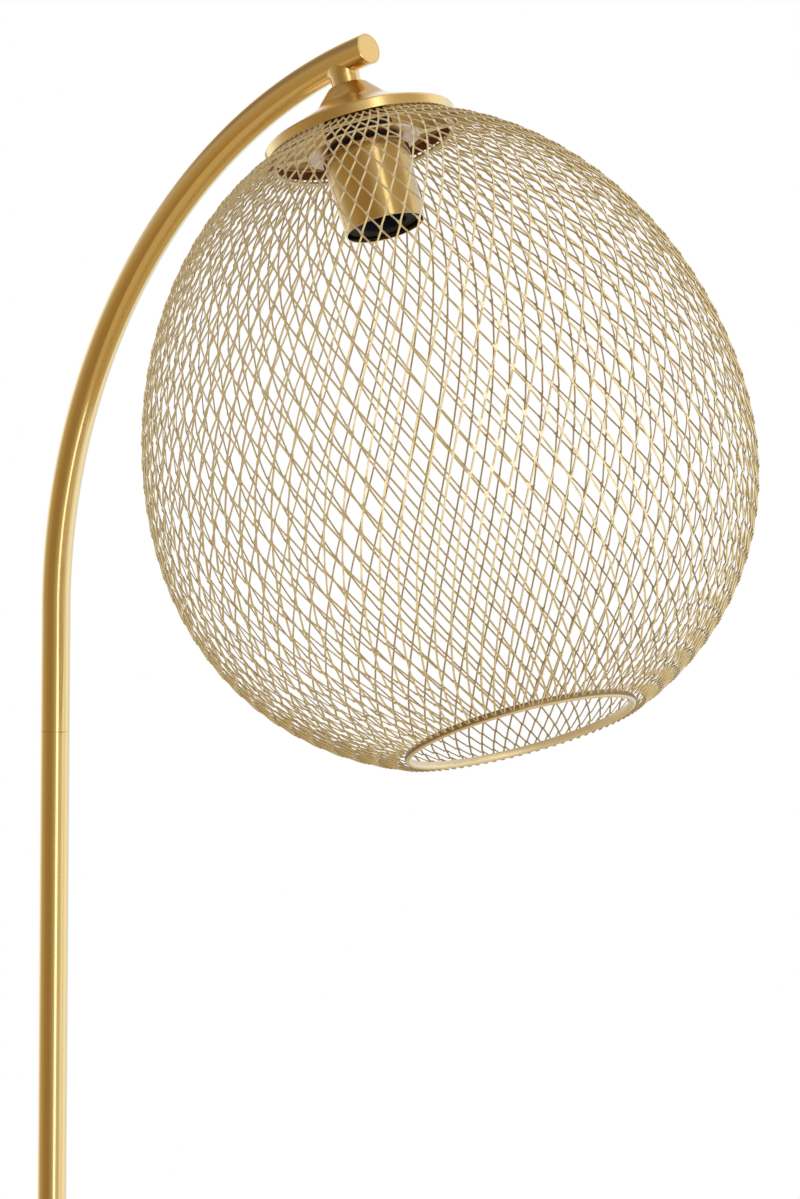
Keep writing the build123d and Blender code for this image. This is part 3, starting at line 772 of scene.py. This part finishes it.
class LAMP_OT_cage(bpy.types.Operator):
    """Form the globe's mesh and the two rings that hold its edges"""

    bl_idname = "lamp.cage"
    bl_label = "Mesh globe"

    def execute(self, context):
        scene, sizes = context.scene, context.scene.lamp_cage
        finishes = scene.lamp_finishes
        coating = mesh_coating(
            "mesh_coating", finishes.champagne, finishes.joint, side=finishes.slit_side_and_inner_shade)
        self.stations = self.meridian(sizes)
        for hand, name, node in (
            (1, "mesh_right_strands", "cage_inner_strands"),
            (-1, "mesh_left_strands", "cage_outer_strands"),
        ):
            bm = self.strands(sizes, hand)
            about_shade(scene, bm, name, node, coating, smooth_angle=70)
        for name, node, radius, station, wire in (
            ("ring_under_cap", "cage_top_ring", 58.17, 59.71, (1.5, 1.5)),
            ("ring_round_mouth", "cage_bottom_ring", 71.39, 446.77, (2.0, 2.5)),
        ):
            self.ring(scene, name, node, radius, station, wire)
        return {"FINISHED"}

    def reach(self, sizes, station):
        """Radius of the globe at a station, a taller superellipse above the widest one."""
        drop = station - sizes.widest
        power = sizes.upper_power if drop < 0 else sizes.lower_power
        depth = sizes.upper_depth if drop < 0 else sizes.lower_depth
        round_part = sizes.radius * (1 - (abs(drop) / depth) ** power) ** (1 / power)
        return round_part + TUCK_RATE * max(sizes.tuck_start - station, 0) ** 2

    def meridian(self, sizes):
        """Lengths and stations along the globe's meridian, a fine step at a time."""
        lengths, stations, step = [0.0], [sizes.start], 0.25
        while stations[-1] < sizes.finish - step:
            here = stations[-1]
            growth = self.reach(sizes, here + step) - self.reach(sizes, here)
            lengths.append(lengths[-1] + hypot(step, growth))
            stations.append(here + step)
        return lengths, stations

    def centre(self, sizes, hand, row, share):
        """Middle of a strand, a share of the way from one row of joints to the next."""
        lengths, stations = self.stations
        joint = sizes.joint_share
        turn = hand * pi / sizes.columns * (row + share - joint * CROSSING_DROP)
        last = len(lengths) - 1
        spot = min(bisect_left(lengths, lengths[-1] * (row + share) / sizes.rows), last)
        station = stations[spot]
        before = stations[max(spot - SLOPE_STEPS, 0)]
        after = stations[min(spot + SLOPE_STEPS, last)]
        slope = (self.reach(sizes, after) - self.reach(sizes, before)) / (after - before)
        outward = Vector((cos(turn), sin(turn), 0))
        normal = (outward - Vector((0, 0, slope))).normalized()
        lean = (share - 0.5) / (1 - 2 * joint) * sizes.scale_step - SETBACK
        place = outward * self.reach(sizes, station) + Vector((0, 0, station)) + normal * lean
        return place * MM, normal

    def sections(self, sizes, hand):
        """Where a strand's section stands from joint to joint, and which stand at a joint."""
        joint, turn_over = sizes.joint_share, 0.05
        shares = (joint, joint + turn_over, 0.5, 1 - turn_over - joint, 1 - joint)
        spots = [(row, share) for row in range(sizes.rows) for share in shares]
        shades = [float(share in (joint, 1 - joint)) for row, share in spots]
        middles = [self.centre(sizes, hand, row, share) for row, share in spots]
        frames = []
        for place, (middle, normal) in enumerate(middles):
            ahead = middles[min(place + 1, len(middles) - 1)][0] - middles[max(place - 1, 0)][0]
            ahead.normalize()
            across = normal.cross(ahead).normalized()
            out = ahead.cross(across)
            turned = Matrix((across, out, ahead)).transposed().to_4x4()
            tilt = Matrix.Rotation(-hand * sizes.tilt * (1 - shades[place]), 4, "Z")
            swell = sizes.joint_swell if shades[place] else 1.0
            frames.append(
                Matrix.Translation(middle) @ turned @ tilt @ Matrix.Diagonal((swell, swell, 1, 1)))
        return frames, shades

    def strands(self, sizes, hand):
        """Every strand of one hand: one is drawn joint by joint, then copied round the axis."""
        frames, shades = self.sections(sizes, hand)
        bm = bmesh.new()
        mark = bm.verts.layers.float.new("joint_shade")
        quarter = Matrix.Rotation(pi / 4, 4, "Z")
        section = Matrix.Diagonal((sizes.width, sizes.depth, 1, 1)) @ quarter
        bmesh.ops.create_circle(
            bm, segments=4, radius=MM / 2 ** 0.5, cap_ends=False, matrix=frames[0] @ section)
        rim = bm.edges[:]
        first = rim[:]
        for before, after, shade in zip(frames, frames[1:], shades[1:]):
            rim = carry_on(bm, rim, after @ before.inverted())
            for vert in ring_verts(rim):
                vert[mark] = shade
        bmesh.ops.edgeloop_fill(bm, edges=first)
        bmesh.ops.edgeloop_fill(bm, edges=rim)
        bmesh.ops.recalc_face_normals(bm, faces=bm.faces)
        self.mark_sides(bm, narrow=1.25 * sizes.depth * MM)
        step = 2 * pi / sizes.columns
        bmesh.ops.spin(
            bm, geom=bm.verts[:] + bm.edges[:] + bm.faces[:], cent=(0, 0, 0), axis=(0, 0, 1),
            angle=2 * pi - step, steps=sizes.columns - 1, use_duplicate=True)
        return bm

    @staticmethod
    def mark_sides(bm, narrow, inner_shade_share=0.7):
        """Mark a strand's narrow sides, where the sheet was slit, and in part its inward face as
        painted shade.
        """
        side = bm.faces.layers.float.new("slit_side_and_inner_shade")
        for face in bm.faces:
            slit = min(edge.calc_length() for edge in face.edges) < narrow
            inner = face.normal.xy.dot(face.calc_center_median().xy) < 0
            face[side] = 1.0 if slit else inner_shade_share * inner

    def ring(self, scene, name, node, radius, station, wire):
        """A smooth ring of oval wire, its outer side painted dark as shade under the strands."""
        bm = bmesh.new()
        middle = Matrix.Translation((radius * MM, 0, station * MM))
        oval = Matrix.Rotation(pi / 2, 4, "X") @ Matrix.Diagonal((*wire, 1, 1))
        bmesh.ops.create_circle(bm, segments=24, radius=MM, matrix=middle @ oval)
        bmesh.ops.spin(
            bm, geom=bm.verts[:] + bm.edges[:], cent=(0, 0, 0), axis=(0, 0, 1), angle=2 * pi,
            steps=CAP_SIDES, use_merge=True, use_duplicate=False)
        bmesh.ops.recalc_face_normals(bm, faces=bm.faces)
        bm.normal_update()
        mark = bm.verts.layers.float.new("joint_shade")
        # Here the joint_shade mark carries painted shade on the ring's outer side, except where it
        # faces down.
        for vert in bm.verts:
            outward = vert.normal.xy.dot(vert.co.xy) > 0
            vert[mark] = float(outward and vert.normal.z < 0.5)
        finishes = scene.lamp_finishes
        coating = mesh_coating(name + "_coating", finishes.ring, finishes.crevice_shade, 0.65)
        about_shade(scene, bm, name, node, coating, smooth_angle=80)


class LAMP_OT_stack(bpy.types.Operator):
    """Turn the pieces clamped between the cap and the cup"""

    bl_idname = "lamp.stack"
    bl_label = "Stack under the cap"

    def execute(self, context):
        scene = context.scene
        finishes = scene.lamp_finishes
        matt = moulded_plastic("black_matt_plastic", finishes.plastic, 0.45, 1500.0)
        steel = plated_steel("plate_plating", finishes.plate, finishes.cut_edge_highlight)
        rubber = moulded_plastic("black_rubber_gasket", finishes.plastic, 0.7, 900.0)
        for name, node, slot, material, profile in (
            # The spacer's black body is partly a real part and partly a dark piece that fills the
            # shade inside the cap.
            ("spacer_black_body", "cage_spacer", "black_plastic", matt, [
                (NIPPLE_HOLE, CAP_FLOOR, 0), (SPACER_NECK, CAP_FLOOR, 0.4),
                (SPACER_NECK, SPACER_STEP, 0.6), (SPACER_RADIUS, SPACER_STEP, 1.2),
                (SPACER_RADIUS, BRIDGE_START, 0.4), (NIPPLE_HOLE, BRIDGE_START, 0)]),
            ("disc_over_cup", "cover_plate", "zinc_steel", steel, [
                (NIPPLE_HOLE, BRIDGE_END, 0), (PLATE_RADIUS, BRIDGE_END, 0.4),
                (PLATE_RADIUS, PLATE_END, 0.4), (NIPPLE_HOLE, PLATE_END, 0)]),
            ("gasket_black_line", "cup_gasket", "black_rubber", rubber, [
                (NIPPLE_HOLE, PLATE_END, 0), (GASKET_RADIUS, PLATE_END, 0.5),
                (GASKET_RADIUS, CUP_START, 0.5), (NIPPLE_HOLE, CUP_START, 0)]),
        ):
            bm = lathe(profile, STACK_SIDES)
            if material == steel:
                # The disc's outer edge is marked for its painted highlight.
                edge = bm.verts.layers.float.new("edge")
                for vert in bm.verts:
                    vert[edge] = float(vert.co.xy.length > (PLATE_RADIUS - 0.6) * MM)
            about_shade(scene, bm, name, node, material)
        coating = mesh_coating("bridge_coating", finishes.champagne, finishes.joint)
        dress(coating, "champagne_mesh", "cage_bridge")
        return {"FINISHED"}


class LAMP_OT_cup(bpy.types.Operator):
    """Spin the socket cup and turn the lampholder set back in its mouth"""

    bl_idname = "lamp.cup"
    bl_label = "Cup and lampholder"

    def execute(self, context):
        scene = context.scene
        finishes = scene.lamp_finishes
        gloss = moulded_plastic(
            "black_gloss_plastic", tone(finishes.plastic, 0.5), 0.5, 500.0, shine=0.08)
        matt = moulded_plastic("carrier_plastic", finishes.plastic, 0.5, 1500.0)
        contact = plated_steel("contact_brass_bare", finishes.contact)
        # The cup's brass is toned darker, as painted shade under the cap inside the globe.
        brass = brass_about_shade(scene, "brass_cup", 0.15, level=0.88)
        for name, node, slot, material, profile in (
            ("cup_spun_shell", "socket_cup", "satin_brass", brass, [
                (NIPPLE_HOLE, CUP_START, 0), (CUP_TOP_RADIUS, CUP_START, 3.0),
                (CUP_MOUTH_RADIUS, CUP_END, 0.3), (CUP_MOUTH_RADIUS - CUP_WALL, CUP_END, 0.3),
                (CUP_BORE, CUP_START + CUP_WALL, 2.2), (NIPPLE_HOLE, CUP_START + CUP_WALL, 0)]),
            ("holder_gloss_body", "lampholder_body", "black_gloss", gloss, [
                (NIPPLE_HOLE, HOLDER_START, 0), (HOLDER_RADIUS, HOLDER_START, 0.5),
                (HOLDER_RADIUS, HOLDER_END, 1.2), (HOLDER_BORE, HOLDER_END, 1.2),
                (HOLDER_BORE, CARRIER_START, 0), (WELL_RADIUS, CARRIER_START, 0),
                (WELL_RADIUS, WELL_START, 0), (NIPPLE_HOLE, WELL_START, 0)]),
            ("carrier_disc", "contact_carrier", "black_plastic", matt, [
                (CARRIER_HOLE, CARRIER_START, 0), (CARRIER_RADIUS, CARRIER_START, 0.3),
                (CARRIER_RADIUS, SHELL_START, 0.3), (CARRIER_HOLE, SHELL_START, 0.3)]),
        ):
            about_shade(scene, lathe(profile, STACK_SIDES), name, node, material)
        self.screw_shell(scene, contact)
        dress(contact, "contact_brass", "centre_contact", "terminal_blocks")
        return {"FINISHED"}

    def screw_shell(self, scene, contact):
        """The brass shell, its wall rolled into the bulb's coarse screw thread."""
        levels, lip = 60, 1.8
        bore, wall, length, pitch, roll = 13.6, 0.5, 15.0, 3.6, 0.2
        inside = [(bore + roll, SHELL_START + length * k / levels, 0) for k in range(levels + 1)]
        outside = [(bore + wall, SHELL_START + length, 0), (bore + wall, SHELL_START, 0)]
        bm = lathe([(bore - lip, SHELL_START, 0)] + inside[1:] + outside, TUBE_SIDES)
        for vert in bm.verts:
            flat = Vector((vert.co.x, vert.co.y, 0))
            rise = vert.co.z / MM - SHELL_START
            if flat.length < (bore + roll * 1.5) * MM and 0 < rise:
                turn = atan2(vert.co.y, vert.co.x)
                wave = roll * sin(2 * pi * rise / pitch + turn)
                vert.co += flat.normalized() * wave * MM
        about_shade(scene, bm, "shell_rolled_thread", "thread_shell", contact)


class LAMP_OT_base(bpy.types.Operator):
    """Finish the base and the fittings inside the tubes"""

    bl_idname = "lamp.base"
    bl_label = "Base and fittings"

    def execute(self, context):
        finishes = context.scene.lamp_finishes
        brass = satin_metal(
            "brass_base", finishes.brass, spun_streaks((0, 0, 0), (0, 0, 0)), 0.22)
        dress(brass, "satin_brass", "base_cover")
        dress(cast_surface("cast_weight", finishes.iron), "cast_iron", "base_weight")
        dress(felted("felt_pad", finishes.felt), "felt", "base_pad")
        rubber = moulded_plastic("black_rubber_bush", finishes.plastic, 0.6, 900.0)
        dress(rubber, "black_rubber", "cord_inlet")
        dress(
            plated_steel("zinc_fittings", finishes.zinc), "zinc_steel", "foot_washer", "foot_nut",
            "foot_stud", "tube_inserts", "coupling_studs", "neck_plug", "threaded_nipple",
            "cup_washer", "cup_lock_nut", "terminal_screws")
        return {"FINISHED"}


class LAMP_OT_stage(bpy.types.Operator):
    """Lay the floor, light the studio and place the camera"""

    bl_idname = "lamp.stage"
    bl_label = "Stage"

    def execute(self, context):
        scene, stage = context.scene, context.scene.lamp_stage
        scene.view_settings.view_transform = "Standard"
        if stage.show_floor:
            self.floor(stage)
        self.room(scene, stage)
        self.lights(scene, stage)
        self.camera(scene, stage)
        return {"FINISHED"}

    def floor(self, stage):
        """Paper under the lamp, clear when it is looked at from below."""
        bm = bmesh.new()
        bmesh.ops.create_grid(bm, x_segments=1, y_segments=1, size=stage.floor_size / 2)
        mesh = bpy.data.meshes.new("studio_floor")
        bm.to_mesh(mesh)
        bm.free()
        mesh.transform(Matrix.Translation((0, 0, -FLOOR_DROP * MM)))
        floor = bpy.data.objects.new("studio_floor", mesh)
        bpy.context.scene.collection.objects.link(floor)
        finish = Finish("floor_paper")
        card = finish.node("ShaderNodeBsdfDiffuse", None, {"Color": (*stage.floor_colour, 1)})
        glow = finish.node("ShaderNodeEmission", None, {
            "Color": (1, 1, 1, 1), "Strength": self.seen(finish)})
        both = finish.node("ShaderNodeAddShader", None, {0: card, 1: glow})
        mirrored = finish.ray("Is Glossy Ray")
        shown = finish.node("ShaderNodeEmission", None, {
            "Color": (*stage.floor_mirrored, 1), "Strength": 1.0})
        above = finish.node("ShaderNodeMixShader", None, {0: mirrored, 1: both, 2: shown})
        below = finish.node("ShaderNodeNewGeometry", out="Backfacing")
        clear = finish.node("ShaderNodeBsdfTransparent")
        whole = finish.node("ShaderNodeMixShader", None, {0: below, 1: above, 2: clear})
        finish.node("ShaderNodeOutputMaterial", None, {"Surface": whole})
        mesh.materials.append(finish.material)

    @staticmethod
    def seen(finish):
        """Glow that makes the floor's picture white to the eye."""
        return (finish.ray("Is Camera Ray") + finish.ray("Is Transmission Ray")) * FLOOR_GLOW

    def room(self, scene, stage):
        """White room for the eye, an even light for the object, studio walls for metal."""
        world = bpy.data.worlds.new("studio")
        scene.world = world
        room = Finish("studio", world)
        way = room.node("ShaderNodeTexCoord", out="Generated")
        right = self.part(room, way, stage.camera_right)
        back = self.part(room, way, -Vector(stage.camera_aim))
        turn = right.maths("ARCTAN2", right, back) * (0.5 / pi) + 0.5
        walls, ceiling = (
            room.node("ShaderNodeValToRGB", {"stops": [
                ((degrees + 180) / 360, (*colour, 1)) for degrees, colour in table]}, {0: turn})
            for table in (WALLS, CEILING))
        rise = self.part(room, way, (0, 0, 1))
        height = self.ease(room, rise, CEILING_START, CEILING_FULL)
        off = turn - (STRIPE + 180) / 360
        away = off.maths("ABSOLUTE", off)
        stripe = 1.0 - self.ease(room, away, STRIPE_CORE / 360, STRIPE_EDGE / 360)
        mirrored = room.ray("Is Glossy Ray")
        seen = room.ray("Is Camera Ray") + room.ray("Is Transmission Ray")
        band = STRIPE_LEVEL * stripe * (1.0 - STRIPE_FADE * height)
        bright = MIRRORED_LEVEL - stage.ambient + band
        level = stage.ambient + (1 - stage.ambient) * seen + bright * mirrored
        colour = room.mix(mirrored, (1, 1, 1), room.mix(height, walls, ceiling))
        glow = room.node("ShaderNodeBackground", None, {"Color": colour, "Strength": level})
        room.node("ShaderNodeOutputWorld", None, {"Surface": glow})

    @staticmethod
    def part(room, way, aim):
        """How much of a direction points along an aim."""
        sockets = {0: way, 1: tuple(Vector(aim).normalized())}
        return room.node("ShaderNodeVectorMath", {"operation": "DOT_PRODUCT"}, sockets, out=1)

    @staticmethod
    def ease(room, value, start, full):
        """0 to 1 as a value passes from start to full."""
        return room.node("ShaderNodeMapRange", {"interpolation_type": "SMOOTHSTEP"}, {
            "Value": value, "From Min": start, "From Max": full})

    def lights(self, scene, stage):
        """Three tall lights, each a number of degrees round from the camera."""
        foot = Vector((0.1, 0, 0))
        right, back = Vector(stage.camera_right), -Vector(stage.camera_aim)
        for name, turn, reach, size, power in (
            ("front_strip", 22, 1.8, (0.5, 2.3), stage.front),
            ("side_strip", 69, 2.6, (0.62, 2.4), stage.side),
            ("key_softbox", 104, 2.6, (0.85, 2.4), stage.key),
        ):
            light = bpy.data.lights.new(name, "AREA")
            light.shape = "RECTANGLE"
            light.size, light.size_y = size
            light.energy = power
            lamp = bpy.data.objects.new(name, light)
            way = right * sin(radians(turn)) + back * cos(radians(turn))
            way.z = 0
            lamp.location = foot + way.normalized() * reach + Vector((0, 0, size[1] / 2 + 0.05))
            lamp.rotation_euler = (-way).to_track_quat("-Z", "Z").to_euler()
            lamp.visible_camera = False
            lamp.visible_glossy = False
            scene.collection.objects.link(lamp)

    def camera(self, scene, stage):
        """Stand the camera where the photograph was taken from."""
        right, aim = Vector(stage.camera_right).normalized(), Vector(stage.camera_aim).normalized()
        up = right.cross(aim)
        turned = Matrix((right, up, -aim)).transposed().to_4x4()
        lens = bpy.data.cameras.new("view")
        lens.lens = stage.camera_lens
        lens.clip_end = 60
        camera = bpy.data.objects.new("view", lens)
        camera.matrix_world = Matrix.Translation(stage.camera_place) @ turned
        scene.collection.objects.link(camera)
        scene.camera = camera


class LAMP_PT_panel(bpy.types.Panel):
    """Lists the lamp's pieces and their settings"""

    bl_idname = "LAMP_PT_panel"
    bl_label = "Cage lamp"
    bl_space_type = "VIEW_3D"
    bl_region_type = "UI"
    bl_category = "Cage lamp"

    def draw(self, context):
        for operator in BUILD_ORDER:
            self.layout.operator(operator.bl_idname)
        for group in GROUPS:
            box = self.layout.box()
            settings = getattr(context.scene, group)
            for name in settings.bl_rna.properties.keys():
                if name not in ("rna_type", "name"):
                    box.prop(settings, name)


GROUPS = {
    "lamp_cage": CageSizes,
    "lamp_tube": TubeSizes,
    "lamp_finishes": Finishes,
    "lamp_stage": StageSettings,
}
BUILD_ORDER = (
    LAMP_OT_stage, LAMP_OT_pole, LAMP_OT_arm, LAMP_OT_cap, LAMP_OT_cage, LAMP_OT_stack,
    LAMP_OT_cup, LAMP_OT_base,
)


def register():
    """Make the settings, operators and panel known."""
    for part in (*GROUPS.values(), *BUILD_ORDER, LAMP_PT_panel):
        bpy.utils.register_class(part)
    for name, group in GROUPS.items():
        setattr(bpy.types.Scene, name, PointerProperty(type=group))


def unregister():
    """Take them out again, last first."""
    for name in GROUPS:
        delattr(bpy.types.Scene, name)
    for part in reversed((*GROUPS.values(), *BUILD_ORDER, LAMP_PT_panel)):
        bpy.utils.unregister_class(part)


def main():
    """Build the stage and every piece."""
    register()
    bpy.ops.lamp.stage()
    bpy.ops.lamp.pole()
    bpy.ops.lamp.arm()
    bpy.ops.lamp.cap()
    bpy.ops.lamp.cage()
    bpy.ops.lamp.stack()
    bpy.ops.lamp.cup()
    bpy.ops.lamp.base()


if __name__ == "__main__":
    main()
